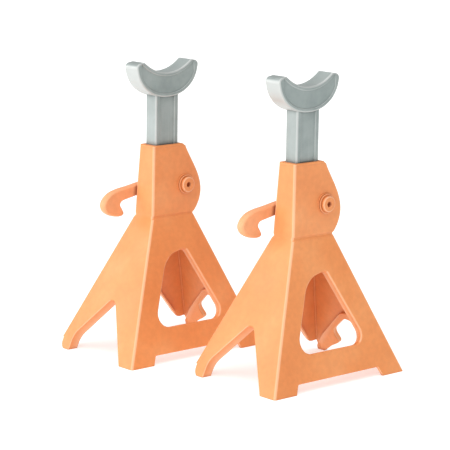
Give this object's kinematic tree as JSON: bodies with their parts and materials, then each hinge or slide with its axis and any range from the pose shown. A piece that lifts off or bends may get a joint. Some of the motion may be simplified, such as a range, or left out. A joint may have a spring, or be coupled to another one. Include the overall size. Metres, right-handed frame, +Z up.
{
  "type": "axle jack stands",
  "caption": "Ratchet axle jack stands with pressed steel towers, sliding toothed posts, crescent saddles and hooked release handles.",
  "frame": {"origin": "on the floor, midway between the two stands", "axes": "+X to the right along the stands' wide front faces, +Y from the front faces to the rear ones, +Z up"},
  "size_m": [0.2576, 0.3488, 0.359],
  "materials": {
    "tower_paint": "satin orange enamel over pressed sheet, lightly orange-peeled",
    "handle_paint": "satin orange enamel over a rough forging",
    "post_coating": "satin grey coating over a fine casting skin",
    "bare_steel": "oiled dark steel",
    "pin_plating": "dull zinc plate"
  },
  "bodies": {
    "root": {"stand1_front_shell": "tower_paint", "stand1_rear_shell": "tower_paint", "stand1_top_plate": "tower_paint", "stand1_lower_guide": "bare_steel", "stand1_front_washer": "tower_paint", "stand1_rear_washer": "tower_paint", "stand2_front_shell": "tower_paint", "stand2_rear_shell": "tower_paint", "stand2_top_plate": "tower_paint", "stand2_lower_guide": "bare_steel", "stand2_front_washer": "tower_paint", "stand2_rear_washer": "tower_paint"},
    "stand1_post": {"stand1_ratchet_post": "post_coating", "stand1_saddle": "post_coating", "stand1_stop_pin": "pin_plating"},
    "stand1_handle": {"stand1_pawl": "bare_steel", "stand1_cross_pin": "tower_paint", "stand1_pawl_key": "pin_plating", "stand1_handle": "handle_paint", "stand1_handle_key": "pin_plating"},
    "stand2_post": {"stand2_ratchet_post": "post_coating", "stand2_saddle": "post_coating", "stand2_stop_pin": "pin_plating"},
    "stand2_handle": {"stand2_pawl": "bare_steel", "stand2_cross_pin": "tower_paint", "stand2_pawl_key": "pin_plating", "stand2_handle": "handle_paint", "stand2_handle_key": "pin_plating"}
  },
  "joints": [
    {"name": "stand1_post_slide", "type": "slide", "parent": "root", "child": "stand1_post", "axis": [0, 0, 1], "range_m": [-0.05, 0.0375]},
    {"name": "stand1_handle_hinge", "type": "hinge", "parent": "root", "child": "stand1_handle", "pos_m": [0.048, -0.09904, 0.205], "axis": [0, 1, 0], "range_deg": [-11, 20]},
    {"name": "stand2_post_slide", "type": "slide", "parent": "root", "child": "stand2_post", "axis": [0, 0, 1], "range_m": [-0.05, 0.0375]},
    {"name": "stand2_handle_hinge", "type": "hinge", "parent": "root", "child": "stand2_handle", "pos_m": [0.002, 0.10296, 0.205], "axis": [0, 1, 0], "range_deg": [-11, 20]}
  ]
}
